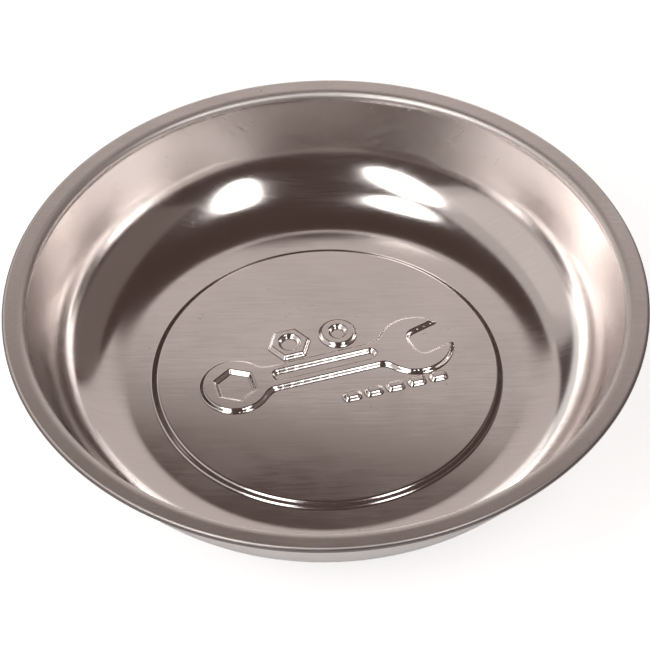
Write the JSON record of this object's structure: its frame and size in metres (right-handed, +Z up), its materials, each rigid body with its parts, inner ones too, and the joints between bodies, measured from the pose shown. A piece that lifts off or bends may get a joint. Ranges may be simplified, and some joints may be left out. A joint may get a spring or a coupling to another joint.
{
  "type": "magnetic parts tray",
  "caption": "Round pressed steel dish with a folded rim and a raised seat, clamped on a rubber-booted ring magnet, for holding loose screws and small parts.",
  "frame": {"origin": "centre of the rubber foot's bottom face, on the surface it rests on", "axes": "+Z up along the dish's axis, +X along the bottom edge of the view that reads the pressed emblem upright"},
  "size_m": [0.15, 0.15, 0.0393],
  "materials": {
    "stainless": "satin, lightly polished",
    "zinc_steel": "bright zinc plate",
    "ferrite": "matt, ground faces",
    "rubber": "matt"
  },
  "bodies": {
    "root": {"bowl": "stainless", "weld_stud": "zinc_steel", "ring_magnet": "ferrite", "backing_plate": "zinc_steel", "rubber_boot": "rubber", "penny_washer": "zinc_steel", "lock_washer": "zinc_steel", "hex_nut": "zinc_steel"}
  },
  "joints": []
}
